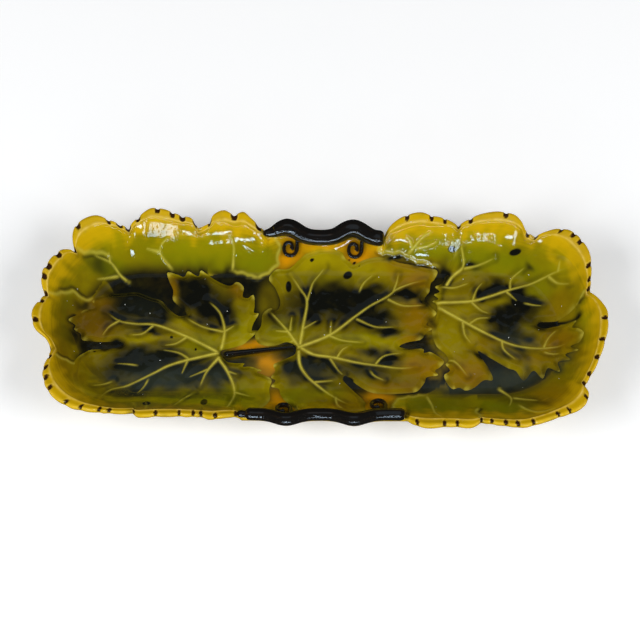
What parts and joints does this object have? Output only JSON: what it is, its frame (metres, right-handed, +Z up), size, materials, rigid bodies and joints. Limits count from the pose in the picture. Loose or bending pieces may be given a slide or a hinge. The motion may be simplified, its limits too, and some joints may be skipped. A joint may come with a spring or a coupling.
{
  "type": "elongated serving dish",
  "caption": "Elongated glazed earthenware serving dish with a lobed rim, vine leaves in relief, twig handles on the long sides and curled tendrils, on a low foot.",
  "frame": {"origin": "middle of the dish in plan, on the surface that the foot stands on", "axes": "+X along the dish to the viewer's right, +Y towards the rear handle, +Z up"},
  "size_m": [0.34, 0.143, 0.0371],
  "materials": {
    "rim_glaze": "glossy ochre lead-type glaze, greener down the walls",
    "leaf_glaze": "glossy olive glaze, dark where it pools and pale on the veins",
    "bark_glaze": "glossy black-brown glaze",
    "foot_glaze": "thin honey glaze, wiped bare on the standing edge"
  },
  "bodies": {
    "root": {"dish_shell": "rim_glaze", "foot_ring": "foot_glaze", "rear_branch_handle": "bark_glaze", "front_branch_handle": "bark_glaze", "rear_left_tendril": "bark_glaze", "rear_right_tendril": "bark_glaze", "front_left_tendril": "bark_glaze", "front_right_tendril": "bark_glaze", "left_leaf": "leaf_glaze", "centre_leaf": "leaf_glaze", "right_leaf": "leaf_glaze", "leaf_stem": "bark_glaze"}
  },
  "joints": []
}
